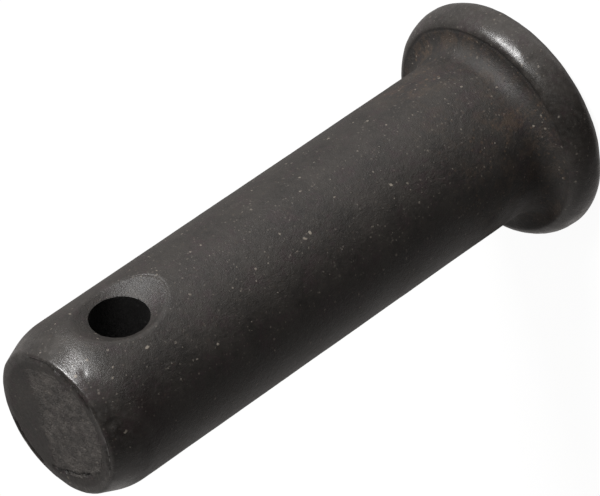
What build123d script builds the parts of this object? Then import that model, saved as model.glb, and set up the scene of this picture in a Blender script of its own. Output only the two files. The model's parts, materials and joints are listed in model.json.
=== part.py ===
"""Clevis pin: a headed steel pin with a countersunk cross hole for a split pin.

The pin stands on the flat outer face of its head, with the origin at the centre of
that face, +Z up the shank to the end face, and the cross hole along X. Millimetres.
"""

import os
from build123d import *

# Shank
shank_diameter = 7.9
under_head_length = 25.85  # underside of the head to the end face

# Lead-in chamfer at the end of the shank
chamfer_length = 1.7
chamfer_depth = 0.6
shank_blend = 4.0  # radius where the chamfer leaves the shank
end_edge_radius = 0.3

# Head
head_overhang = 1.75  # how far the rim stands out from the shank
head_thickness = 1.95
rim_height = 0.8  # height of the widest part of the rim above the outer face
outer_round_width = 0.85
underside_round_width = 0.68
neck_fillet = 0.9  # hollow where the shank meets the head
least_flat = 0.05  # flat left between the neck fillet and the rounded rim

# Cross hole
hole_diameter = 2.6
hole_from_end = 4.0
countersink_diameter = 4.75
countersink_angle = 120

shank_radius = shank_diameter / 2
head_radius = shank_radius + head_overhang
total_length = head_thickness + under_head_length
hole_height = total_length - hole_from_end


def half_section():
    """Draws half of the pin's section, on the XZ plane, with the axis along Z."""
    underside_rim = head_radius - underside_round_width
    chamfer_start = total_length - chamfer_length
    end_radius = shank_radius - chamfer_depth
    with BuildSketch(Plane.XZ) as section:
        with BuildLine():
            Line((0, 0), (head_radius - outer_round_width, 0))
            EllipticalCenterArc(
                (head_radius - outer_round_width, rim_height),
                outer_round_width,
                rim_height,
                start_angle=270,
                arc_size=90,
            )
            EllipticalCenterArc(
                (underside_rim, rim_height),
                underside_round_width,
                head_thickness - rim_height,
                arc_size=90,
            )
            Polyline(
                (underside_rim, head_thickness),
                (shank_radius, head_thickness),
                (shank_radius, chamfer_start),
                (end_radius, total_length),
                (0, total_length),
                (0, 0),
            )
        make_face()
        blends = (
            ((shank_radius, chamfer_start), shank_blend),
            ((end_radius, total_length), end_edge_radius),
        )
        for (across, height), blend_radius in blends:
            corner = section.vertices().sort_by_distance((across, height))[0]
            fillet(corner, radius=blend_radius)
    return section.sketch


# One blank, upset at one end and chamfered at the other
with BuildPart() as pin:
    add(half_section())
    revolve(axis=Axis.Z)

    # Hollow fillet where the shank meets the underside of the head
    neck = pin.edges().filter_by(GeomType.CIRCLE).filter_by(
        lambda edge: abs(edge.radius - shank_radius) < 0.01
        and abs(edge.center().Z - head_thickness) < 0.01
    )
    underside_flat = head_overhang - underside_round_width
    fillet(neck, radius=min(neck_fillet, underside_flat - least_flat))

    # Cross hole, drilled right through and countersunk from both sides
    for outward in (1, -1):
        mouth = Plane(origin=(outward * shank_radius, 0, hole_height), z_dir=(outward, 0, 0))
        with Locations(mouth):
            CounterSinkHole(
                radius=hole_diameter / 2,
                counter_sink_radius=countersink_diameter / 2,
                depth=shank_diameter,
                counter_sink_angle=countersink_angle,
            )

pin.part.label = "clevis_pin"
os.makedirs("parts", exist_ok=True)
export_step(pin.part, "parts/clevis_pin.step")
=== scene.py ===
"""A dark phosphated clevis pin standing on its head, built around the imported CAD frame.

The pin is modelled in millimetres and brought to metres at the end. Its axis is Z, the
head stands on the floor at Z = 0, and the cross hole runs along X.
"""

import json
import logging
import math
from dataclasses import dataclass, field
from enum import Enum
from typing import Callable

import bmesh
import bpy
from mathutils import Matrix, Vector, noise

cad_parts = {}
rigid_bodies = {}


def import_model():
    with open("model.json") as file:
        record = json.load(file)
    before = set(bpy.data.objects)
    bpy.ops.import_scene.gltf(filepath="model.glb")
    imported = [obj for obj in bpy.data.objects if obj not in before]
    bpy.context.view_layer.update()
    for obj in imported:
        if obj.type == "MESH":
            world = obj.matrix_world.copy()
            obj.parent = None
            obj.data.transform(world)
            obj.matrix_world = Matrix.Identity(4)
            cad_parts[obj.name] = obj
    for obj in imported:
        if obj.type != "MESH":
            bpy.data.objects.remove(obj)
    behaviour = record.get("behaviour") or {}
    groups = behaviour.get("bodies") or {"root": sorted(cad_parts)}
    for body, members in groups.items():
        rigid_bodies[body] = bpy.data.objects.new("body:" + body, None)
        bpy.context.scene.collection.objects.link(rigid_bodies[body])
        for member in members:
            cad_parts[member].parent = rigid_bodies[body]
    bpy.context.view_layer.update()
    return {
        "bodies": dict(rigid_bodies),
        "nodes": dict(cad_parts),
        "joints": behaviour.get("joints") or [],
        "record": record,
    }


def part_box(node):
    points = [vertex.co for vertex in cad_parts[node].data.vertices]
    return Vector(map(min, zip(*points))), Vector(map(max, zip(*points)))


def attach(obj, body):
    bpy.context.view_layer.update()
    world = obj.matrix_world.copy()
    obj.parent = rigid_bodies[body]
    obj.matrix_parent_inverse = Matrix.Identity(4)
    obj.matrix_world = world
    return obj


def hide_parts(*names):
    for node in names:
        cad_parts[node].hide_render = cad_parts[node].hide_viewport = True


log = logging.getLogger("clevis_pin")

MILLIMETRE = 0.001
MERGE_DISTANCE = 1e-4
SPIN_MERGE_DISTANCE = 2e-3
FACE_TOLERANCE = 0.002

Colour = tuple[float, float, float, float]


class Side(Enum):
    """The two mouths of the cross hole, by the sign of X that they face."""

    NEAR = 1
    FAR = -1


# --------------------------------------------------------------------------- maths


def smooth_step(low: float, high: float, value: float) -> float:
    """Rises smoothly from 0 at low to 1 at high, and works with low above high.

    Args:
        low: Where the ramp starts.
        high: Where the ramp ends.
        value: The number to map.

    Returns:
        A number from 0 to 1.
    """
    share = min(max((value - low) / (high - low), 0.0), 1.0)
    return share * share * (3.0 - 2.0 * share)


def blend(start: float, end: float, share: float) -> float:
    """Mixes two numbers in a straight line."""
    return start + (end - start) * share


def bump(value: float, centre: float, width: float) -> float:
    """Gives a bell of height 1 about centre that has faded out at two widths."""
    return math.exp(-(((value - centre) / width) ** 2))


def angle_gap(first: float, second: float) -> float:
    """Gives the signed turn in degrees from second to first, within half a turn."""
    return (first - second + 180.0) % 360.0 - 180.0


# --------------------------------------------------------------------- pin's section


@dataclass(frozen=True)
class PinSection:
    """Half of the pin's section in millimetres, as radius against height.

    Args:
        total_length: Height of the end face above the floor.
        shank_radius: Radius of the plain shank.
    """

    total_length: float
    shank_radius: float = 3.95
    chamfer_length: float = 1.4
    chamfer_depth: float = 0.53
    shank_blend: float = 3.0
    end_edge_radius: float = 0.2
    head_overhang: float = 1.75
    head_thickness: float = 1.95
    rim_height: float = 0.8
    outer_round_width: float = 0.85
    underside_round_width: float = 0.68
    neck_fillet: float = 0.9

    @property
    def head_radius(self) -> float:
        """Radius of the widest part of the rim."""
        return self.shank_radius + self.head_overhang

    @property
    def chamfer_tilt(self) -> float:
        """Angle in radians between the chamfer and the axis."""
        return math.atan2(self.chamfer_depth, self.chamfer_length)

    @property
    def blend_reach(self) -> float:
        """How far the shank's blend runs either side of its corner."""
        return self.shank_blend * math.tan(self.chamfer_tilt / 2.0)

    @property
    def blend_start(self) -> float:
        """Height at which the shank begins to draw in."""
        return self.total_length - self.chamfer_length - self.blend_reach

    @property
    def blend_end(self) -> float:
        """Height at which the chamfer becomes straight."""
        corner = self.total_length - self.chamfer_length
        return corner + self.blend_reach * math.cos(self.chamfer_tilt)

    @property
    def edge_reach(self) -> float:
        """How far the end edge's round runs either side of its corner."""
        return self.end_edge_radius * math.tan((math.pi / 2.0 - self.chamfer_tilt) / 2.0)

    @property
    def flat_radius(self) -> float:
        """Radius of the flat part of the end face."""
        return self.shank_radius - self.chamfer_depth - self.edge_reach

    def side_radius(self, height: float) -> float:
        """Radius of the shank, its blend or its chamfer.

        Args:
            height: A height between the neck and the end edge's round.

        Returns:
            The radius there.
        """
        if height <= self.blend_start:
            return self.shank_radius
        if height <= self.blend_end:
            rise = height - self.blend_start
            sink = self.shank_blend - math.sqrt(self.shank_blend**2 - rise**2)
            return self.shank_radius - sink
        corner = self.total_length - self.chamfer_length
        return self.shank_radius - (height - corner) * math.tan(self.chamfer_tilt)

    def outline(self) -> list[tuple[float, float]]:
        """Walks the section from the middle of the outer face to that of the end face.

        Returns:
            Radius and height of each point.
        """
        points: list[tuple[float, float]] = []
        outer_flat = self.head_radius - self.outer_round_width
        underside_rim = self.head_radius - self.underside_round_width
        neck_radius = self.shank_radius + self.neck_fillet
        neck_top = self.head_thickness + self.neck_fillet

        def line(start: tuple[float, float], end: tuple[float, float], step: float) -> None:
            count = max(1, round(math.dist(start, end) / step))
            for index in range(count):
                share = index / count
                points.append((blend(start[0], end[0], share), blend(start[1], end[1], share)))

        def arc(
            centre: tuple[float, float],
            radii: tuple[float, float],
            start: float,
            end: float,
            count: int,
        ) -> None:
            for index in range(count):
                turn = math.radians(blend(start, end, index / count))
                across = centre[0] + radii[0] * math.cos(turn)
                points.append((across, centre[1] + radii[1] * math.sin(turn)))

        line((0.0, 0.0), (outer_flat, 0.0), 0.22)
        outer_radii = (self.outer_round_width, self.rim_height)
        arc((outer_flat, self.rim_height), outer_radii, -90.0, 0.0, 14)
        under_radii = (self.underside_round_width, self.head_thickness - self.rim_height)
        arc((underside_rim, self.rim_height), under_radii, 0.0, 90.0, 22)
        line((underside_rim, self.head_thickness), (neck_radius, self.head_thickness), 0.06)
        fillet_radii = (self.neck_fillet, self.neck_fillet)
        arc((neck_radius, neck_top), fillet_radii, 270.0, 180.0, 16)
        line((self.shank_radius, neck_top), (self.shank_radius, self.blend_start), 0.15)

        side_steps = 20
        chamfer_top = self.total_length - self.edge_reach * math.cos(self.chamfer_tilt)
        for index in range(side_steps):
            height = blend(self.blend_start, chamfer_top, index / side_steps)
            points.append((self.side_radius(height), height))
        edge_centre = (self.flat_radius, self.total_length - self.end_edge_radius)
        edge_radii = (self.end_edge_radius, self.end_edge_radius)
        arc(edge_centre, edge_radii, math.degrees(self.chamfer_tilt), 90.0, 7)
        line((self.flat_radius, self.total_length), (0.0, self.total_length), 0.085)
        points.append((0.0, self.total_length))
        return points


# ------------------------------------------------------------------------ cross hole


@dataclass(frozen=True)
class CrossHole:
    """The countersunk hole across the shank, in millimetres.

    Args:
        section: The section that the hole cuts.
    """

    section: PinSection
    radius: float = 1.3
    from_end: float = 4.0
    countersink_radius: float = 2.375
    half_angle: float = math.radians(60.0)
    window_azimuth: float = math.radians(34.45)
    window_reach: float = 2.75
    skin_rings: tuple[float, ...] = (0.2, 0.38, 0.55, 0.7, 0.83, 0.93, 1.0)
    cone_rings: tuple[float, ...] = (0.06, 0.16, 0.3, 0.45, 0.6, 0.75, 0.87, 0.95, 1.0)
    bore_cuts: int = 40

    @property
    def height(self) -> float:
        """Height of the hole's axis."""
        return self.section.total_length - self.from_end

    @property
    def mouth_depth(self) -> float:
        """Distance from the pin's axis to the inner end of each cone."""
        rise = (self.countersink_radius - self.radius) / math.tan(self.half_angle)
        return self.section.shank_radius - rise

    def cone_distance(self, radius: float) -> float:
        """Distance from the pin's axis of the cone where it has that radius."""
        return self.mouth_depth + (radius - self.radius) / math.tan(self.half_angle)

    def skin_distance(self, across: float, height: float) -> float:
        """Distance along X from the pin's axis out to the shank's skin."""
        radius = self.section.side_radius(height)
        return math.sqrt(max(radius**2 - across**2, 0.0))

    def rim_radius(self, turn: float) -> float:
        """Radius at which the cone breaks through the skin, by bisection.

        Args:
            turn: Angle about the hole's axis, in radians from +Z.

        Returns:
            The radius from the hole's axis.
        """
        low, high = self.radius, self.countersink_radius
        for _ in range(40):
            middle = (low + high) / 2.0
            across = middle * math.sin(turn)
            height = self.height + middle * math.cos(turn)
            if self.cone_distance(middle) > self.skin_distance(across, height):
                high = middle
            else:
                low = middle
        return low

    def in_window(self, point: Vector, side: Side) -> bool:
        """Says whether a point lies in the patch of skin that the hole replaces."""
        azimuth = math.atan2(point.y, point.x * side.value)
        beside = abs(azimuth) < self.window_azimuth
        return beside and abs(point.z - self.height) < self.window_reach

    def wall(self, point: Vector) -> float:
        """Says how far inside the hole a point lies: 0 on the skin, 1 in the bore."""
        reach = math.hypot(point.y, point.z - self.height)
        if reach > self.countersink_radius + 0.01:
            return 0.0
        if reach < self.radius + 0.02 and abs(point.x) < self.mouth_depth + 0.02:
            return 1.0
        on_cone = abs(abs(point.x) - self.cone_distance(reach)) < 0.004
        return 0.5 if on_cone else 0.0


# -------------------------------------------------------------------- surface wear


@dataclass(frozen=True)
class Nick:
    """A small dent in the side of the pin.

    Args:
        azimuth: Direction from the axis, in degrees.
        height: Height above the floor, in millimetres.
        half_length: Half of its length along the pin, in millimetres.
        half_width: Half of its width round the pin, in millimetres.
        depth: How far its middle is pushed in, in millimetres.
        slant: Turn of its length away from the axis, in degrees.
    """

    azimuth: float
    height: float
    half_length: float
    half_width: float
    depth: float
    slant: float = 0.0

    def push(self, azimuth: float, height: float, radius: float) -> float:
        """Depth of the dent at a place on the skin, in millimetres."""
        around = math.radians(angle_gap(azimuth, self.azimuth)) * radius
        along = height - self.height
        if abs(around) > 3.0 * self.half_length or abs(along) > 3.0 * self.half_length:
            return 0.0
        turn = math.radians(self.slant)
        length = along * math.cos(turn) + around * math.sin(turn)
        width = around * math.cos(turn) - along * math.sin(turn)
        fade = bump(length, 0.0, self.half_length) * bump(width, 0.0, self.half_width)
        return self.depth * fade


@dataclass(frozen=True)
class Relief:
    """Smooth random unevenness, sunk by a mean depth and swinging about it.

    Args:
        mean: Mean depth, in millimetres.
        swing: How far the depth swings, in millimetres.
        pitch: How fine it is, in waves to a millimetre.
        octaves: How many finer layers are added, or 1 for plain noise.
        decay: How fast the finer layers fade.
    """

    mean: float
    swing: float
    pitch: float
    octaves: int = 1
    decay: float = 1.0

    def depth(self, point: Vector) -> float:
        """Depth at a point, in millimetres."""
        if self.octaves == 1:
            return self.mean + self.swing * noise.noise(point * self.pitch)
        layers = noise.fractal(point * self.pitch, self.decay, 2.0, self.octaves)
        return self.mean + self.swing * layers


@dataclass(frozen=True)
class CroppedEnd:
    """The end face where the bar was cropped: a smooth sheared crescent and a torn middle.

    Args:
        section: The section whose end face this is.
    """

    section: PinSection
    tear_radius: float = 2.62
    tear_centre: tuple[float, float] = (0.05, -0.12)
    chord_height: float = 1.08
    chord_slope: float = 0.26
    sink: float = 0.035
    crack_path: tuple[tuple[float, float], ...] = (
        (-1.75, -1.85),
        (-2.2, -1.18),
        (-2.4, -0.78),
        (-2.46, -0.45),
        (-2.62, -0.1),
        (-2.74, 0.22),
        (-2.72, 0.6),
    )
    seams: tuple[tuple[float, float, float], ...] = (
        (-12.0, 46.0, 3.2),
        (136.0, 26.0, 3.12),
        (-92.0, 20.0, 3.17),
    )
    crack_width: float = 0.06
    crack_depth: float = 0.11

    def tear(self, x: float, y: float) -> float:
        """How far a point of the face belongs to the torn middle, from 0 to 1."""
        ragged = 0.16 * noise.noise(Vector((x * 0.9, y * 0.9, 3.1)))
        ragged += 0.13 * noise.noise(Vector((x * 3.1, y * 3.1, 7.7)))
        ragged += 0.06 * noise.noise(Vector((x * 8.3, y * 8.3, 1.3)))
        reach = math.hypot(x - self.tear_centre[0], y - self.tear_centre[1]) + ragged
        round_part = smooth_step(self.tear_radius + 0.1, self.tear_radius - 0.1, reach)
        chord = self.chord_height + self.chord_slope * x
        chord_part = smooth_step(chord + 0.14, chord - 0.14, y + 1.4 * ragged)
        return round_part * chord_part

    def crack_and_shade(self, x: float, y: float) -> float:
        """How deep a point lies in the crack beside the tear, from 0 to 1; the colour also
        darkens the crack and seams with painted shade.
        """
        warp = Vector((x * 4.0, y * 4.0, 2.2))
        x, y = x + 0.09 * noise.noise(warp), y + 0.09 * noise.noise(warp * 1.3)
        nearest = 1e9
        for start, end in zip(self.crack_path, self.crack_path[1:]):
            run = (end[0] - start[0], end[1] - start[1])
            share = ((x - start[0]) * run[0] + (y - start[1]) * run[1]) / (
                run[0] ** 2 + run[1] ** 2
            )
            share = min(max(share, 0.0), 1.0)
            gap = math.hypot(x - start[0] - run[0] * share, y - start[1] - run[1] * share)
            nearest = min(nearest, gap)
        uneven = 0.65 + 0.7 * abs(noise.noise(Vector((x * 2.3, y * 2.3, 1.9))))
        return max(bump(nearest, 0.0, self.crack_width) * uneven, self.seam(x, y))

    def seam(self, x: float, y: float) -> float:
        """How deep a point lies in the folded seam along part of the face's edge; the colour
        also darkens the seam with painted shade.
        """
        azimuth = math.degrees(math.atan2(y, x))
        reach = math.hypot(x, y) + 0.03 * noise.noise(Vector((x * 1.7, y * 1.7, 4.0)))
        kept = 0.0
        for middle, half, radius in self.seams:
            along = smooth_step(half, half * 0.6, abs(angle_gap(azimuth, middle)))
            kept = max(kept, along * bump(reach, radius, 0.045))
        return 0.8 * kept

    def drop(self, x: float, y: float) -> float:
        """How far the face lies below its highest plane, in millimetres."""
        tear = self.tear(x, y)
        coarse = noise.fractal(Vector((x * 1.6, y * 1.6, 0.4)), 0.9, 2.1, 4)
        fine = noise.noise(Vector((x * 7.0, y * 7.0, 5.0)))
        rough = 0.022 * coarse + 0.012 * fine
        sheared = 0.004 * noise.noise(Vector((x * 1.1, y * 1.1, 9.0)))
        drop = tear * (self.sink + rough) + (1.0 - tear) * (0.006 + sheared)
        drop += self.crack_depth * self.crack_and_shade(x, y)
        edge = math.hypot(x, y) / self.section.flat_radius
        return max(drop, 0.0) * smooth_step(1.06, 0.97, edge)


@dataclass(frozen=True)
class SurfaceWear:
    """What forging, handling and rust have done to the pin's skin.

    Args:
        section: The pin's section.
        hole: The pin's cross hole.
        end: The cropped end face.
    """

    section: PinSection
    hole: CrossHole
    end: CroppedEnd
    outer_face: Relief = Relief(0.012, 0.01, 0.9)
    skin: Relief = Relief(0.008, 0.007, 0.33, 3)
    skin_grain: Relief = Relief(0.0025, 0.0025, 3.2)
    forging: Relief = Relief(0.02, 0.018, 1.0, 4, 0.9)
    forging_stretch: tuple[float, float, float] = (0.8, 0.8, 1.3)
    chamfer: Relief = Relief(0.012, 0.012, 1.4, 3)
    lip_wear: Relief = Relief(0.0256, 0.016, 1.7)
    lip_width: float = 0.06
    torn_mouth: Relief = Relief(0.016, 0.016, 5.0)
    torn_reach: float = 0.35
    drill_ring_depth: float = 0.006
    drill_ring_turns: float = 30.0
    root_radius: float = 5.03
    root_width: float = 0.075
    root_depth: float = 0.035
    root_azimuth: float = 5.0
    nicks: tuple[Nick, ...] = (
        Nick(-13.8, 19.1, 0.12, 0.09, 0.03, 30.0),
        Nick(-36.2, 18.1, 0.09, 0.09, 0.03),
        Nick(-41.9, 17.35, 0.1, 0.08, 0.03, -40.0),
        Nick(-23.3, 18.2, 0.08, 0.08, 0.02),
        Nick(-73.0, 14.5, 0.11, 0.09, 0.03),
        Nick(-79.0, 25.1, 0.5, 0.3, 0.006, 25.0),
        Nick(-8.0, 0.95, 0.35, 0.12, 0.035, 70.0),
        Nick(-15.0, 0.7, 0.5, 0.1, 0.03, 80.0),
        Nick(-29.0, 1.3, 0.3, 0.14, 0.03, 60.0),
        Nick(62.0, 0.9, 0.4, 0.16, 0.05, 75.0),
        Nick(118.0, 1.1, 0.35, 0.12, 0.04, 55.0),
        Nick(171.0, 0.8, 0.5, 0.12, 0.04, 85.0),
        Nick(-128.0, 1.2, 0.35, 0.16, 0.05, 65.0),
        Nick(-24.0, 27.2, 0.12, 0.16, 0.03),
        Nick(-62.0, 27.4, 0.15, 0.3, 0.035, 80.0),
        Nick(88.0, 27.3, 0.14, 0.3, 0.035, 85.0),
        Nick(141.0, 27.0, 0.18, 0.16, 0.03),
        Nick(-150.0, 26.8, 0.2, 0.14, 0.03, 20.0),
    )

    def drop(self, point: Vector) -> float:
        """How far a point of the perfect surface is sunk along its normal.

        Args:
            point: A point of the perfect surface, in millimetres.

        Returns:
            Millimetres, never below 0, so that the pin stays inside its full size.
        """
        radius = math.hypot(point.x, point.y)
        total = self.section.total_length
        wall = self.hole.wall(point)
        if wall == 1.0:
            return self.bore_drop(point)
        if point.z > total - FACE_TOLERANCE:
            return self.end.drop(point.x, point.y)
        if point.z < FACE_TOLERANCE:
            return smooth_step(4.7, 3.6, radius) * self.outer_face.depth(point)
        sink = self.skin.depth(point)
        head = smooth_step(2.4, 1.9, point.z)
        if head > 0.0:
            stretched = Vector(
                [size * stretch for size, stretch in zip(point, self.forging_stretch)]
            )
            sink = blend(sink, self.forging.depth(stretched), head)
        tip = smooth_step(self.section.blend_end, total, point.z)
        if tip > 0.0:
            sink += tip * self.chamfer.depth(point)
        azimuth = math.degrees(math.atan2(point.y, point.x))
        dents = sum(nick.push(azimuth, point.z, radius) for nick in self.nicks)
        dents += self.root_depth * self.root_line(point)
        edge = self.lip(point) * self.lip_wear.depth(point)
        return max(sink + self.skin_grain.depth(point) + dents + edge, 0.0)

    def bore_drop(self, point: Vector) -> float:
        """Sinks the drilled wall in fine rings, with torn metal near its mouths."""
        wander = 3.0 * noise.noise(point * 1.1)
        rings = 1.0 + math.sin(point.x * self.drill_ring_turns + wander)
        inward = self.hole.mouth_depth - abs(point.x)
        near_mouth = smooth_step(self.torn_reach, 0.0, inward)
        return self.drill_ring_depth * rings + near_mouth * self.torn_mouth.depth(point)

    def lip(self, point: Vector) -> float:
        """How near a point is to the countersink's outer edge, from 0 to 1."""
        reach = math.hypot(point.y, point.z - self.hole.height)
        if reach > self.hole.countersink_radius + 0.5 or abs(point.x) < 2.5:
            return 0.0
        turn = math.atan2(point.y, point.z - self.hole.height)
        gap = reach - self.hole.rim_radius(turn)
        return bump(gap, 0.0, self.lip_width)

    def root_line(self, point: Vector) -> float:
        """How near a point is to the fine line where the rim meets the underside; a shallow
        groove is sunk there and the colour darkens it with painted shade.
        """
        radius = math.hypot(point.x, point.y)
        if point.z > 1.96 or point.z < 1.7 or radius < 4.6:
            return 0.0
        uneven = 0.05 * noise.noise(point * 0.8)
        azimuth = math.degrees(math.atan2(point.y, point.x))
        away = abs(angle_gap(azimuth, self.root_azimuth))
        # The groove and its painted shade are deepest towards azimuth 5 degrees, beside the
        # softbox.
        deepest = 0.3 + 0.7 * smooth_step(95.0, 25.0, away)
        return deepest * bump(radius + uneven, self.root_radius, self.root_width)

    def rub(self, point: Vector) -> float:
        """How far handling has polished a place, from 0 to 1."""
        radius = math.hypot(point.x, point.y)
        total = self.section.total_length
        head_rim = smooth_step(5.02, 5.2, radius) * smooth_step(0.1, 0.5, point.z)
        tip = smooth_step(self.section.blend_start + 0.3, self.section.blend_end + 0.2, point.z)
        tip *= smooth_step(2.9, 3.2, radius)
        lip = 0.0
        if abs(point.z - self.hole.height) < 3.0:
            turn = math.atan2(point.y, point.z - self.hole.height)
            toward_head = 0.7 - 0.3 * math.cos(turn)
            lip = self.lip(point) * toward_head
        face_edge = bump(radius, self.section.flat_radius + 0.05, 0.2) * smooth_step(
            total - 0.5, total - 0.1, point.z
        )
        return min(max(0.95 * head_rim, tip, lip, 0.8 * face_edge), 1.0)

    def stain(self, point: Vector) -> float:
        """How far the dark patch beside the chamfer reaches a place, from 0 to 1."""
        azimuth = math.degrees(math.atan2(point.y, point.x))
        around = bump(angle_gap(azimuth, -76.0), 0.0, 21.0)
        along = bump(point.z, 25.7, 1.1)
        patch = 0.75 + 1.1 * noise.fractal(point * 1.1, 0.9, 2.0, 3)
        return min(max(around * along * patch, 0.0), 1.0)

    def dust(self, point: Vector) -> float:
        """How much pale dust and rust bloom lies on a place, from 0 to 1."""
        radius = math.hypot(point.x, point.y)
        near_head = smooth_step(9.0, 2.6, point.z) * smooth_step(5.2, 4.95, radius)
        near_head *= smooth_step(0.9, 1.9, point.z)
        patch = 0.6 + 0.8 * noise.fractal(point * 0.45, 0.9, 2.0, 3)
        return min(max(near_head * patch, 0.0), 1.0)


# -------------------------------------------------------------------------- modelling


def deselect_all() -> None:
    """Leaves nothing selected and nothing active."""
    if bpy.context.object is not None and bpy.context.object.mode != "OBJECT":
        bpy.ops.object.mode_set(mode="OBJECT")
    bpy.ops.object.select_all(action="DESELECT")
    bpy.context.view_layer.objects.active = None


@dataclass
class MeshDesk:
    """One mesh in edit mode, with faces and edges picked by their place.

    Args:
        piece: The object whose mesh is worked on.
    """

    piece: bpy.types.Object

    def open(self) -> bmesh.types.BMesh:
        """Gives the mesh being edited."""
        return bmesh.from_edit_mesh(self.piece.data)

    def show(self) -> None:
        """Hands changed places back to the object."""
        bmesh.update_edit_mesh(self.piece.data)

    def pick_faces(self, wanted: Callable[[Vector], bool]) -> None:
        """Selects just the faces whose middle passes a test."""
        bpy.ops.mesh.select_mode(type="FACE")
        bpy.ops.mesh.select_all(action="DESELECT")
        mesh = self.open()
        for face in mesh.faces:
            if wanted(face.calc_center_median()):
                face.select_set(True)
        self.show()

    def pick_open_edges(self, wanted: Callable[[Vector], bool]) -> None:
        """Selects just the open edges whose middle passes a test."""
        bpy.ops.mesh.select_mode(type="EDGE")
        bpy.ops.mesh.select_all(action="DESELECT")
        mesh = self.open()
        for edge in mesh.edges:
            middle = (edge.verts[0].co + edge.verts[1].co) / 2.0
            if edge.is_boundary and wanted(middle):
                edge.select_set(True)
        self.show()

    def extrude_open_loop(self, place: Callable[[Vector], Vector]) -> None:
        """Extrudes the selected loop by one ring and lays the new ring out.

        Args:
            place: Gives each new corner's place from the old one's.
        """
        bpy.ops.mesh.extrude_region_move()
        mesh = self.open()
        for vertex in mesh.verts:
            if vertex.select:
                vertex.co = place(vertex.co)
        self.show()


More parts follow.
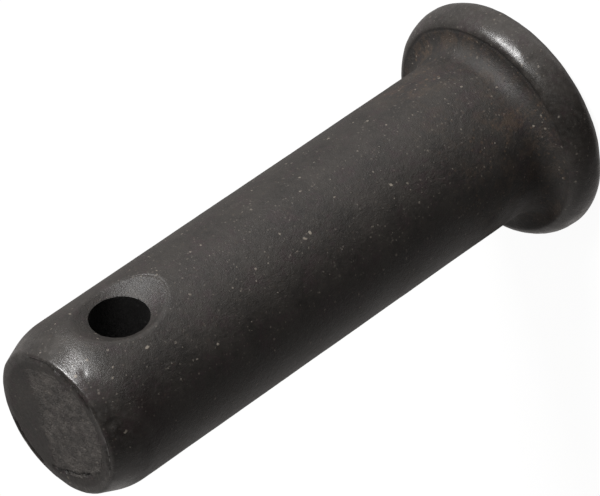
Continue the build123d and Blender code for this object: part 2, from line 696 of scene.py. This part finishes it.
@dataclass
class ClevisPin:
    """The pin: one spun blank with a headed end, and a countersunk cross hole.

    Args:
        section: The pin's section.
        hole: The cross hole.
        wear: What has happened to the surface.
        name: The name of the finished piece.
    """

    section: PinSection
    hole: CrossHole
    wear: SurfaceWear
    name: str = "pin"
    spin_steps: int = 256
    crisp_angle: float = math.radians(38.0)
    piece: bpy.types.Object = field(init=False)

    def build(self) -> bpy.types.Object:
        """Models the whole pin.

        Returns:
            The finished piece, in metres, at the origin.
        """
        self.spin_blank()
        for side in Side:
            self.cut_countersink(side)
        self.join_bore()
        self.tidy_mesh()
        self.age_surface()
        self.bring_to_metres()
        return self.piece

    def spin_blank(self) -> None:
        """Draws the half section point by point and spins it round the axis."""
        outline = self.section.outline()
        deselect_all()
        bpy.ops.mesh.primitive_plane_add(size=1.0, location=(0.0, 0.0, 0.0))
        self.piece = bpy.context.active_object
        self.piece.name = self.name
        self.piece.data.name = self.name
        bpy.ops.object.mode_set(mode="EDIT")
        bpy.ops.mesh.merge(type="CENTER")
        for start, end in zip(outline, outline[1:]):
            step = (0.0, start[0] - end[0], end[1] - start[1])
            bpy.ops.mesh.extrude_region_move(TRANSFORM_OT_translate={"value": step})
        bpy.ops.mesh.select_all(action="SELECT")
        bpy.ops.mesh.spin(
            steps=self.spin_steps,
            angle=2.0 * math.pi,
            center=(0.0, 0.0, 0.0),
            axis=(0.0, 0.0, 1.0),
        )
        bpy.ops.mesh.select_all(action="SELECT")
        bpy.ops.mesh.remove_doubles(threshold=SPIN_MERGE_DISTANCE)
        bpy.ops.mesh.normals_make_consistent(inside=False)

    def cut_countersink(self, side: Side) -> None:
        """Opens the skin on one side and runs rings from it down the cone.

        Args:
            side: Which mouth to cut.
        """
        desk = MeshDesk(self.piece)
        desk.pick_faces(lambda middle: self.hole.in_window(middle, side))
        bpy.ops.mesh.delete(type="FACE")
        desk.pick_open_edges(lambda middle: middle.x * side.value > 0.0)

        done = 0.0
        for share in self.hole.skin_rings:
            step = (share - done) / (1.0 - done)
            desk.extrude_open_loop(lambda corner: self.on_skin(corner, side, step))
            done = share
        done = 0.0
        for share in self.hole.cone_rings:
            step = (share - done) / (1.0 - done)
            desk.extrude_open_loop(lambda corner: self.on_cone(corner, side, step))
            done = share

    def on_skin(self, corner: Vector, side: Side, step: float) -> Vector:
        """Moves a corner along the skin towards the countersink's outline.

        Args:
            corner: Where the corner is.
            side: Which mouth it belongs to.
            step: Share of what is left of the way.

        Returns:
            Its new place.
        """
        reach = math.hypot(corner.y, corner.z - self.hole.height)
        turn = math.atan2(corner.y, corner.z - self.hole.height)
        reach = blend(reach, self.hole.rim_radius(turn), step)
        across = reach * math.sin(turn)
        height = self.hole.height + reach * math.cos(turn)
        return Vector((side.value * self.hole.skin_distance(across, height), across, height))

    def on_cone(self, corner: Vector, side: Side, step: float) -> Vector:
        """Moves a corner down the cone towards the bore.

        Args:
            corner: Where the corner is.
            side: Which mouth it belongs to.
            step: Share of what is left of the way.

        Returns:
            Its new place.
        """
        reach = math.hypot(corner.y, corner.z - self.hole.height)
        turn = math.atan2(corner.y, corner.z - self.hole.height)
        reach = blend(reach, self.hole.radius, step)
        across = reach * math.sin(turn)
        height = self.hole.height + reach * math.cos(turn)
        return Vector((side.value * self.hole.cone_distance(reach), across, height))

    def join_bore(self) -> None:
        """Bridges the two open mouths with the bore's wall."""
        desk = MeshDesk(self.piece)
        desk.pick_open_edges(lambda middle: True)
        cuts = self.hole.bore_cuts
        bpy.ops.mesh.bridge_edge_loops(number_cuts=cuts, interpolation="LINEAR")

    def tidy_mesh(self) -> None:
        """Merges doubles and turns every face outwards."""
        bpy.ops.mesh.select_mode(type="VERT")
        bpy.ops.mesh.select_all(action="SELECT")
        bpy.ops.mesh.remove_doubles(threshold=MERGE_DISTANCE)
        bpy.ops.mesh.normals_make_consistent(inside=False)
        bpy.ops.object.mode_set(mode="OBJECT")

    def age_surface(self) -> None:
        """Sinks the surface where it is worn and stores the wear and the painted shade masks for
        the finish.
        """
        mesh = self.piece.data
        layers: dict[str, Callable[[Vector], float]] = {
            "rub": self.wear.rub,
            "dust": self.wear.dust,
            "stain": self.wear.stain,
            "tear": self.face_tear,
            # painted shade mask for cracks, seams and the rim's root line
            "crack_and_shade": self.face_crack_shade,
            # marks the bore, whose inside the colour darkens as painted shade
            "inside": self.hole.wall,
        }
        places = [vertex.co.copy() for vertex in mesh.vertices]
        normals = [vertex.normal.copy() for vertex in mesh.vertices]
        for name, measure in layers.items():
            layer = mesh.attributes.new(name=name, type="FLOAT", domain="POINT")
            layer.data.foreach_set("value", [measure(place) for place in places])
        for vertex, place, normal in zip(mesh.vertices, places, normals):
            vertex.co = place - normal * self.wear.drop(place)
        mesh.update()

    def face_tear(self, place: Vector) -> float:
        """How far a place belongs to the torn middle of the end face."""
        if place.z < self.section.total_length - FACE_TOLERANCE:
            return 0.0
        return self.wear.end.tear(place.x, place.y)

    def face_crack_shade(self, place: Vector) -> float:
        """How dark the painted shade is at a place: in a crack or seam of the end face, or along
        the line at the rim's root.
        """
        if place.z < self.section.total_length - FACE_TOLERANCE:
            # Painted shade along the rim's root line.
            return 0.75 * self.wear.root_line(place)
        return min(self.wear.end.crack_and_shade(place.x, place.y), 1.0)

    def bring_to_metres(self) -> None:
        """Scales the finished mesh to metres and shades it."""
        deselect_all()
        self.piece.select_set(True)
        bpy.context.view_layer.objects.active = self.piece
        self.piece.scale = (MILLIMETRE, MILLIMETRE, MILLIMETRE)
        bpy.ops.object.transform_apply(location=True, rotation=True, scale=True)
        bpy.ops.object.shade_smooth_by_angle(angle=self.crisp_angle)


# -------------------------------------------------------------------------- materials


@dataclass
class NodeBoard:
    """A node tree with short ways to add and join its nodes.

    Args:
        tree: The tree that is worked on.
    """

    tree: bpy.types.NodeTree

    def add(self, kind: str, **settings: object) -> bpy.types.Node:
        """Adds a node and sets its properties by name."""
        node = self.tree.nodes.new(kind)
        for name, value in settings.items():
            setattr(node, name, value)
        return node

    def feed(self, target: bpy.types.NodeSocket, value: object) -> None:
        """Links a socket to a target, or sets the target to a plain value."""
        if isinstance(value, bpy.types.NodeSocket):
            self.tree.links.new(value, target)
        else:
            target.default_value = value

    def math(self, operation: str, *values: object, clamp: bool = False) -> bpy.types.NodeSocket:
        """Adds a Math node fed by sockets or numbers and gives its result."""
        node = self.add("ShaderNodeMath", operation=operation, use_clamp=clamp)
        for target, value in zip(node.inputs, values):
            self.feed(target, value)
        return node.outputs[0]

    def vector(self, operation: str, *values: object) -> bpy.types.NodeSocket:
        """Adds a Vector Math node and gives its vector, or its number if it makes one."""
        node = self.add("ShaderNodeVectorMath", operation=operation)
        for target, value in zip(node.inputs, values):
            self.feed(target, value)
        is_number = operation in ("LENGTH", "DOT_PRODUCT", "DISTANCE")
        return node.outputs["Value" if is_number else "Vector"]

    def remap(
        self, value: object, low: float, high: float, start: float = 0.0, end: float = 1.0
    ) -> bpy.types.NodeSocket:
        """Maps low..high smoothly to start..end and holds it there."""
        node = self.add("ShaderNodeMapRange", interpolation_type="SMOOTHSTEP", clamp=True)
        for name, number in (
            ("Value", value),
            ("From Min", low),
            ("From Max", high),
            ("To Min", start),
            ("To Max", end),
        ):
            self.feed(node.inputs[name], number)
        return node.outputs["Result"]

    def mix(self, share: object, start: object, end: object) -> bpy.types.NodeSocket:
        """Mixes two colours and gives the result."""
        node = self.add("ShaderNodeMix", data_type="RGBA", blend_type="MIX")
        self.feed(node.inputs["Factor"], share)
        self.feed(node.inputs[6], start)
        self.feed(node.inputs[7], end)
        return node.outputs[2]

    def noise(
        self, place: object, scale: float, detail: float = 3.0, roughness: float = 0.55
    ) -> bpy.types.NodeSocket:
        """Adds a noise texture and gives its value."""
        node = self.add("ShaderNodeTexNoise", noise_dimensions="3D")
        self.feed(node.inputs["Vector"], place)
        self.feed(node.inputs["Scale"], scale)
        self.feed(node.inputs["Detail"], detail)
        self.feed(node.inputs["Roughness"], roughness)
        return node.outputs["Fac"]

    def attribute(self, name: str) -> bpy.types.NodeSocket:
        """Reads a number stored on the mesh."""
        node = self.add("ShaderNodeAttribute", attribute_type="GEOMETRY", attribute_name=name)
        return node.outputs["Fac"]

    def effect(self, group: bpy.types.NodeTree, **values: object) -> bpy.types.Node:
        """Places a shared effect and feeds its inputs by name."""
        node = self.add("ShaderNodeGroup", node_tree=group)
        for name, value in values.items():
            self.feed(node.inputs[name.replace("_", " ").title()], value)
        return node


def open_group(
    name: str, inputs: dict[str, str], outputs: dict[str, str]
) -> tuple[NodeBoard, bpy.types.Node, bpy.types.Node]:
    """Starts a shader node group with named sockets.

    Args:
        name: The group's name.
        inputs: Socket names and kinds, such as "Float" or "Vector".
        outputs: Socket names and kinds.

    Returns:
        The group's board, its input node and its output node.
    """
    tree = bpy.data.node_groups.new(name, "ShaderNodeTree")
    for socket, kind in inputs.items():
        tree.interface.new_socket(socket, in_out="INPUT", socket_type=f"NodeSocket{kind}")
    for socket, kind in outputs.items():
        tree.interface.new_socket(socket, in_out="OUTPUT", socket_type=f"NodeSocket{kind}")
    board = NodeBoard(tree)
    return board, board.add("NodeGroupInput"), board.add("NodeGroupOutput")


@dataclass(frozen=True)
class SharedEffects:
    """The node groups that the finishes are made from."""

    flecks: bpy.types.NodeTree
    mottle: bpy.types.NodeTree
    scratches: bpy.types.NodeTree

    @classmethod
    def build(cls) -> "SharedEffects":
        """Builds each group once."""
        return cls(cls.build_flecks(), cls.build_mottle(), cls.build_scratches())

    @staticmethod
    def build_flecks() -> bpy.types.NodeTree:
        """Loose specks: one here and there among Voronoi cells, each of its own size."""
        board, given, result = open_group(
            "flecks",
            {"Place": "Vector", "Scale": "Float", "Share": "Float", "Size": "Float"},
            {"Mask": "Float", "Tone": "Float"},
        )
        wander = board.add("ShaderNodeTexNoise", noise_dimensions="3D")
        board.feed(wander.inputs["Vector"], given.outputs["Place"])
        board.feed(wander.inputs["Scale"], board.math("MULTIPLY", given.outputs["Scale"], 2.2))
        shift = board.vector("SUBTRACT", wander.outputs["Color"], (0.5, 0.5, 0.5))
        scaled = board.vector("SCALE", shift)
        spread = scaled.node.inputs["Scale"]
        board.feed(spread, board.math("DIVIDE", 0.35, given.outputs["Scale"]))
        place = board.vector("ADD", given.outputs["Place"], scaled)
        cells = board.add("ShaderNodeTexVoronoi", voronoi_dimensions="3D", feature="F1")
        board.feed(cells.inputs["Vector"], place)
        board.feed(cells.inputs["Scale"], given.outputs["Scale"])
        parts = board.add("ShaderNodeSeparateColor")
        board.feed(parts.inputs[0], cells.outputs["Color"])
        chosen = board.math("LESS_THAN", parts.outputs[0], given.outputs["Share"])
        chance = board.math("MULTIPLY_ADD", parts.outputs[1], 1.1, 0.35)
        size = board.math("MULTIPLY", given.outputs["Size"], chance)
        inner = board.math("MULTIPLY", size, 0.55)
        spot = board.remap(cells.outputs["Distance"], size, inner)
        board.feed(result.inputs["Mask"], board.math("MULTIPLY", spot, chosen))
        board.feed(result.inputs["Tone"], parts.outputs[2])
        return board.tree

    @staticmethod
    def build_mottle() -> bpy.types.NodeTree:
        """Cloudy unevenness on two scales, from 0 to 1."""
        board, given, result = open_group(
            "mottle",
            {"Place": "Vector", "Scale": "Float", "Contrast": "Float"},
            {"Mask": "Float"},
        )
        place = given.outputs["Place"]
        broad = board.noise(place, given.outputs["Scale"], 4.0, 0.6)
        fine = board.noise(place, board.math("MULTIPLY", given.outputs["Scale"], 5.3), 3.0, 0.6)
        both = board.math("MULTIPLY_ADD", fine, 0.4, board.math("MULTIPLY", broad, 0.6))
        centred = board.math("SUBTRACT", both, 0.5)
        mask = board.math(
            "MULTIPLY_ADD", centred, given.outputs["Contrast"], 0.5, clamp=True
        )
        board.feed(result.inputs["Mask"], mask)
        return board.tree

    @staticmethod
    def build_scratches() -> bpy.types.NodeTree:
        """Fine lines: thin edges of large stretched cells, kept only in places."""
        board, given, result = open_group(
            "scratches",
            {"Place": "Vector", "Scale": "Float", "Width": "Float", "Share": "Float"},
            {"Mask": "Float"},
        )
        place = given.outputs["Place"]
        cells = board.add(
            "ShaderNodeTexVoronoi", voronoi_dimensions="3D", feature="DISTANCE_TO_EDGE"
        )
        board.feed(cells.inputs["Vector"], place)
        board.feed(cells.inputs["Scale"], given.outputs["Scale"])
        line = board.remap(cells.outputs["Distance"], given.outputs["Width"], 0.0)
        patch_scale = board.math("MULTIPLY", given.outputs["Scale"], 1.7)
        patches = board.noise(place, patch_scale, 2.0, 0.5)
        kept = board.math("LESS_THAN", patches, given.outputs["Share"])
        board.feed(result.inputs["Mask"], board.math("MULTIPLY", line, kept))
        return board.tree


@dataclass
class SteelMasks:
    """The patterns that the steel's colour, gloss and relief share.

    Args:
        board: The material's node tree.
        effects: The shared node groups.
    """

    board: NodeBoard
    effects: SharedEffects

    def __post_init__(self) -> None:
        """Reads the stored wear and painted shade masks and lays out every pattern in
        millimetres.
        """
        board = self.board
        coordinates = board.add("ShaderNodeTexCoord")
        self.place = board.vector("SCALE", coordinates.outputs["Object"])
        self.place.node.inputs["Scale"].default_value = 1.0 / MILLIMETRE
        self.rub = board.attribute("rub")
        self.dust = board.attribute("dust")
        self.tear = board.attribute("tear")
        self.crack_and_shade = board.attribute("crack_and_shade")
        self.stain = board.attribute("stain")
        # Painted shade: the bore's inside is darkened almost to black.
        self.bore_shade = board.remap(board.attribute("inside"), 0.55, 0.95)
        self.clouds = self.mottle(0.55, 2.4)
        self.grain = self.mottle(4.5, 2.2)
        self.blush = self.mottle(0.9, 4.0)
        self.chips = self.mottle(2.1, 4.2)
        self.haze = self.mottle(1.3, 3.6)
        self.bloom = board.math("MULTIPLY", self.dust, board.remap(self.haze, 0.3, 0.95))
        patchy = board.remap(self.haze, 0.15, 0.7, 0.55, 1.0)
        self.rubbed = board.math("MULTIPLY", self.rub, patchy, clamp=True)
        bare = board.remap(self.grain, 0.4, 0.95, 0.03, 0.13)
        self.metal = board.math("MULTIPLY", self.rubbed, bare)
        self.grit = self.build_grit()

    def mottle(self, scale: float, contrast: float) -> bpy.types.NodeSocket:
        """Adds one cloudy pattern."""
        clouds = self.board.effect(
            self.effects.mottle, place=self.place, scale=scale, contrast=contrast
        )
        return clouds.outputs["Mask"]

    def flecks(self, scale: float, share: float, size: float) -> bpy.types.Node:
        """Adds one scatter of specks."""
        return self.board.effect(
            self.effects.flecks, place=self.place, scale=scale, share=share, size=size
        )

    def build_grit(self) -> bpy.types.NodeSocket:
        """Pale specks of three sizes, thickest on the torn face and in the bloom."""
        board = self.board
        fine = self.flecks(3.4, 0.5, 0.19)
        powder = self.flecks(7.5, 0.5, 0.3)
        coarse = self.flecks(0.95, 0.16, 0.075)
        tone = board.remap(fine.outputs["Tone"], 0.0, 1.0, 0.06, 0.65)
        grit = board.math("MULTIPLY", fine.outputs["Mask"], tone)
        big = board.math("MULTIPLY", coarse.outputs["Mask"], 0.9)
        grit = board.math("MAXIMUM", grit, big)
        tone = board.remap(powder.outputs["Tone"], 0.2, 1.0, 0.0, 0.26)
        small = board.math("MULTIPLY", powder.outputs["Mask"], tone)
        on_face = board.math("MULTIPLY_ADD", self.tear, 2.4, 1.0)
        more = board.math("MULTIPLY_ADD", self.bloom, 1.5, on_face)
        small = board.math("MULTIPLY", small, more, clamp=True)
        return board.math("MAXIMUM", grit, small)


@dataclass(frozen=True)
class PhosphatedSteel:
    """Dark phosphated and oiled steel, rubbed bright at its edges and lightly dusty, with
    painted shade in its cracks and bore.

    Colours are linear RGB; lengths inside the node tree are millimetres.
    """

    name: str = "phosphated_steel"
    dark: Colour = (0.0042, 0.0036, 0.0032, 1.0)
    pale: Colour = (0.0285, 0.0245, 0.0210, 1.0)
    plum: Colour = (0.019, 0.0115, 0.0128, 1.0)
    torn: Colour = (0.066, 0.058, 0.052, 1.0)
    worn: Colour = (0.32, 0.31, 0.30, 1.0)
    rust: Colour = (0.105, 0.066, 0.040, 1.0)
    scorch: Colour = (0.0075, 0.0028, 0.0026, 1.0)
    grit: Colour = (0.34, 0.30, 0.25, 1.0)
    # Near-black painted shade for the bore's inside, the cracks, the seams and the rim's root
    # line.
    painted_shade_black: Colour = (0.0012, 0.0011, 0.0010, 1.0)
    ior: float = 1.55
    least_roughness: float = 0.44
    most_roughness: float = 0.54

    def build(self, effects: SharedEffects) -> bpy.types.Material:
        """Builds the material.

        Args:
            effects: The shared node groups.

        Returns:
            The finished material.
        """
        material = bpy.data.materials.new(self.name)
        material.use_nodes = True
        material.node_tree.nodes.clear()
        board = NodeBoard(material.node_tree)
        output = board.add("ShaderNodeOutputMaterial")
        shader = board.add("ShaderNodeBsdfPrincipled")
        shader.inputs["IOR"].default_value = self.ior
        masks = SteelMasks(board, effects)
        board.feed(shader.inputs["Base Color"], self.colour(board, masks))
        board.feed(shader.inputs["Metallic"], masks.metal)
        board.feed(shader.inputs["Roughness"], self.roughness(board, masks))
        board.feed(shader.inputs["Normal"], self.relief(board, masks))
        board.feed(output.inputs["Surface"], shader.outputs["BSDF"])
        return material

    def colour(self, board: NodeBoard, masks: SteelMasks) -> bpy.types.NodeSocket:
        """Lays the finish on from the bare mottle up to the painted shade in the cracks and the
        bore.
        """
        colour = board.mix(masks.clouds, self.dark, self.pale)
        blush = board.math("MULTIPLY", board.remap(masks.blush, 0.5, 1.0), 0.7)
        colour = board.mix(blush, colour, self.plum)
        chipped = board.remap(masks.chips, 0.0, 1.0, 0.1, 1.0)
        colour = board.mix(board.math("MULTIPLY", masks.tear, chipped), colour, self.torn)
        colour = board.mix(masks.stain, colour, self.scorch)
        colour = board.mix(board.math("MULTIPLY", masks.bloom, 0.34), colour, self.rust)
        colour = board.mix(masks.metal, colour, self.worn)
        rusty = masks.flecks(4.2, 0.35, 0.26)
        rusty_share = board.remap(masks.dust, 0.0, 0.6, 0.08, 0.5)
        rusty_share = board.math("MULTIPLY", rusty.outputs["Mask"], rusty_share)
        colour = board.mix(rusty_share, colour, self.rust)
        colour = board.mix(board.math("MULTIPLY", masks.grit, 0.6), colour, self.grit)
        # Painted shade: cracks, seams and the rim's root line are darkened almost to black.
        crack_shade = board.math("MULTIPLY", masks.crack_and_shade, 0.95, clamp=True)
        colour = board.mix(crack_shade, colour, self.painted_shade_black)
        # Painted shade: the bore's inside is mixed almost to black.
        return board.mix(board.math("MULTIPLY", masks.bore_shade, 0.97), colour, self.painted_shade_black)

    def roughness(self, board: NodeBoard, masks: SteelMasks) -> bpy.types.NodeSocket:
        """Satin overall, glossier where rubbed, duller under dust and on the tear."""
        level = board.remap(masks.clouds, 0.0, 1.0, self.least_roughness, self.most_roughness)
        level = board.math("MULTIPLY_ADD", masks.rubbed, -0.27, level)
        level = board.math("MULTIPLY_ADD", masks.tear, 0.1, level)
        level = board.math("MULTIPLY_ADD", masks.dust, 0.34, level)
        return board.math("MULTIPLY_ADD", masks.grit, 0.3, level, clamp=True)

    def relief(self, board: NodeBoard, masks: SteelMasks) -> bpy.types.NodeSocket:
        """Fine relief in millimetres: grain, crystals, scuffs, the tear and specks."""
        scuffs = board.effect(
            masks.effects.scratches, place=masks.place, scale=0.42, width=0.012, share=0.46
        )
        texture = board.math("MULTIPLY", masks.grain, 0.022)
        crystals = board.noise(masks.place, 11.0, 2.0, 0.6)
        texture = board.math("MULTIPLY_ADD", crystals, 0.016, texture)
        texture = board.math("MULTIPLY_ADD", scuffs.outputs["Mask"], -0.004, texture)
        ragged = board.noise(masks.place, 3.2, 5.0, 0.7)
        ragged = board.math("MULTIPLY", ragged, masks.tear)
        texture = board.math("MULTIPLY_ADD", ragged, 0.16, texture)
        texture = board.math("MULTIPLY_ADD", masks.grit, 0.01, texture)
        worn_smooth = board.math("MULTIPLY_ADD", masks.rub, -0.72, 1.0)
        texture = board.math("MULTIPLY", texture, worn_smooth)
        bumps = board.add("ShaderNodeBump")
        bumps.inputs["Strength"].default_value = 1.0
        bumps.inputs["Distance"].default_value = 1.0
        board.feed(bumps.inputs["Height"], board.math("MULTIPLY", texture, MILLIMETRE))
        return bumps.outputs["Normal"]


# ------------------------------------------------------------------------------ studio


@dataclass(frozen=True)
class Studio:
    """A pale floor, a soft lit room and one softbox.

    Args:
        middle: The middle of the object, in metres.
    """

    middle: Vector
    floor_half: float = 1.5
    lamp_azimuth: float = 10.0
    lamp_elevation: float = 30.0
    lamp_distance: float = 0.25
    lamp_side: float = 0.1
    lamp_power: float = 0.78
    dim_azimuth: float = -92.0
    light_peak: float = 1.6
    light_round: tuple[tuple[float, float], ...] = (
        (0.0, 0.0),
        (12.0, 0.02),
        (24.0, 0.05),
        (40.0, 0.11),
        (52.0, 0.18),
        (70.0, 0.33),
        (90.0, 0.6),
        (105.0, 0.72),
        (120.0, 0.66),
        (140.0, 0.46),
        (160.0, 0.33),
        (190.0, 0.24),
        (215.0, 0.21),
        (240.0, 0.24),
        (265.0, 0.3),
        (285.0, 0.28),
        (310.0, 0.2),
        (330.0, 0.1),
        (348.0, 0.02),
        (360.0, 0.0),
    )

    def build(self) -> None:
        """Sets up the floor, the lamp and the room, and reports them."""
        self.build_floor()
        self.build_lamp()
        self.build_room()

    def build_floor(self) -> None:
        """A white floor that keeps only the object's soft shadow."""
        deselect_all()
        bpy.ops.mesh.primitive_plane_add(size=2.0 * self.floor_half, location=(0.0, 0.0, 0.0))
        floor = bpy.context.active_object
        floor.name = "floor"
        floor.visible_glossy = False
        floor.visible_diffuse = False
        floor.visible_shadow = False
        material = bpy.data.materials.new("floor_white")
        material.use_nodes = True
        material.node_tree.nodes.clear()
        board = NodeBoard(material.node_tree)
        output = board.add("ShaderNodeOutputMaterial")
        light_path = board.add("ShaderNodeLightPath")
        glow = board.add("ShaderNodeEmission")
        glow.inputs["Color"].default_value = (1.0, 1.0, 1.0, 1.0)
        glow.inputs["Strength"].default_value = 0.95
        matt = board.add("ShaderNodeBsdfDiffuse")
        matt.inputs["Color"].default_value = (0.1, 0.1, 0.1, 1.0)
        both = board.add("ShaderNodeAddShader")
        board.feed(both.inputs[0], glow.outputs[0])
        board.feed(both.inputs[1], matt.outputs[0])
        seen = board.math(
            "MAXIMUM",
            light_path.outputs["Is Camera Ray"],
            board.math(
                "MAXIMUM",
                light_path.outputs["Is Glossy Ray"],
                light_path.outputs["Is Transmission Ray"],
            ),
        )
        choice = board.add("ShaderNodeMixShader")
        board.feed(choice.inputs[0], seen)
        board.feed(choice.inputs[1], matt.outputs[0])
        board.feed(choice.inputs[2], both.outputs[0])
        board.feed(output.inputs["Surface"], choice.outputs[0])
        floor.data.materials.append(material)
        log.info("floor: %.1f m across", 2.0 * self.floor_half)

    def build_lamp(self) -> None:
        """One square softbox above and beside the object."""
        azimuth, elevation = math.radians(self.lamp_azimuth), math.radians(self.lamp_elevation)
        away = Vector(
            (
                math.cos(azimuth) * math.cos(elevation),
                math.sin(azimuth) * math.cos(elevation),
                math.sin(elevation),
            )
        )
        lamp = bpy.data.lights.new("softbox", "AREA")
        lamp.shape = "SQUARE"
        lamp.size = self.lamp_side
        lamp.energy = self.lamp_power
        holder = bpy.data.objects.new("softbox", lamp)
        bpy.context.scene.collection.objects.link(holder)
        place = Matrix.Translation(self.middle + away * self.lamp_distance)
        holder.matrix_world = place @ away.to_track_quat("Z", "Y").to_matrix().to_4x4()
        holder.visible_camera = False
        log.info("softbox: %.2f W at %.2f m", self.lamp_power, self.lamp_distance)

    def build_room(self) -> None:
        """Soft light that changes with direction, and white where it is seen directly."""
        world = bpy.data.worlds.new("room")
        world.use_nodes = True
        world.node_tree.nodes.clear()
        bpy.context.scene.world = world
        board = NodeBoard(world.node_tree)
        output = board.add("ShaderNodeOutputWorld")
        coordinates = board.add("ShaderNodeTexCoord")
        toward = board.vector("NORMALIZE", coordinates.outputs["Generated"])

        parts = board.add("ShaderNodeSeparateXYZ")
        board.feed(parts.inputs[0], toward)
        compass = board.math("ARCTAN2", parts.outputs["Y"], parts.outputs["X"])
        turned = board.math("SUBTRACT", compass, math.radians(self.dim_azimuth))
        around = board.math("FRACT", board.math("DIVIDE", turned, 2.0 * math.pi))
        ramp = board.add("ShaderNodeValToRGB")
        ramp.color_ramp.interpolation = "B_SPLINE"
        stops = ramp.color_ramp.elements
        stops[0].position, stops[1].position = 0.0, 1.0
        for turn, _ in self.light_round[1:-1]:
            stops.new(turn / 360.0)
        for stop, (_, strength) in zip(stops, self.light_round):
            stop.color = (strength, strength, strength, 1.0)
        board.feed(ramp.inputs[0], around)
        level = board.math("MULTIPLY", ramp.outputs["Color"], self.light_peak)
        overhead = board.remap(parts.outputs["Z"], 0.62, 0.88, 1.0, 0.2)
        level = board.math("MULTIPLY", level, overhead)

        light_path = board.add("ShaderNodeLightPath")
        soft = board.add("ShaderNodeBackground")
        soft.inputs["Color"].default_value = (1.0, 0.957, 0.928, 1.0)
        board.feed(soft.inputs["Strength"], level)
        white = board.add("ShaderNodeBackground")
        white.inputs["Color"].default_value = (1.0, 1.0, 1.0, 1.0)
        choice = board.add("ShaderNodeMixShader")
        board.feed(choice.inputs[0], light_path.outputs["Is Camera Ray"])
        board.feed(choice.inputs[1], soft.outputs[0])
        board.feed(choice.inputs[2], white.outputs[0])
        board.feed(output.inputs["Surface"], choice.outputs[0])
        log.info("room: soft light from the floor up")


@dataclass(frozen=True)
class ViewPoint:
    """A long-lens camera, given by where it looks and how it is turned.

    Args:
        target: The point it looks at, in metres.
    """

    target: Vector = Vector((0.000462, 0.000012, 0.013429))
    azimuth: float = -41.898
    elevation: float = 30.481
    roll: float = -124.515
    distance: float = 0.21587
    lens: float = 300.0
    sensor: float = 36.0

    def build(self) -> None:
        """Makes the camera and puts it in the scene."""
        turn, rise = math.radians(self.azimuth), math.radians(self.elevation)
        away = Vector(
            (math.cos(turn) * math.cos(rise), math.sin(turn) * math.cos(rise), math.sin(rise))
        )
        level_right = Vector((-math.sin(turn), math.cos(turn), 0.0))
        level_up = away.cross(level_right)
        lean = math.radians(self.roll)
        right = level_right * math.cos(lean) + level_up * math.sin(lean)
        up = away.cross(right)
        frame = Matrix((right, up, away)).transposed().to_4x4()
        lens = bpy.data.cameras.new("view")
        lens.lens = self.lens
        lens.sensor_width = self.sensor
        lens.clip_start = 0.01
        lens.clip_end = 20.0
        camera = bpy.data.objects.new("view", lens)
        bpy.context.scene.collection.objects.link(camera)
        camera.matrix_world = Matrix.Translation(self.target + away * self.distance) @ frame
        bpy.context.scene.camera = camera
        log.info("camera: %.0f mm lens at %.3f m", self.lens, self.distance)


# -------------------------------------------------------------------------------- main


def main() -> None:
    """Loads the frame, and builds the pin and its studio."""
    logging.basicConfig(level=logging.INFO, format="%(name)s: %(message)s")
    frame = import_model()
    node = "clevis_pin"
    low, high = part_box(node)

    ViewPoint().build()
    section = PinSection(total_length=(high[2] - low[2]) / MILLIMETRE)
    hole = CrossHole(section)
    wear = SurfaceWear(section, hole, CroppedEnd(section))
    pin = ClevisPin(section, hole, wear).build()
    pin.data.materials.append(PhosphatedSteel().build(SharedEffects.build()))
    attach(pin, "root")
    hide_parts(node)
    faces, nodes = len(pin.data.polygons), len(frame["nodes"])
    log.info("pin: %d faces, for %d packed node(s)", faces, nodes)

    Studio(Vector((0.0, 0.0, high[2] / 2.0))).build()
    bpy.context.scene.view_settings.view_transform = "Standard"


if __name__ == "__main__":
    main()
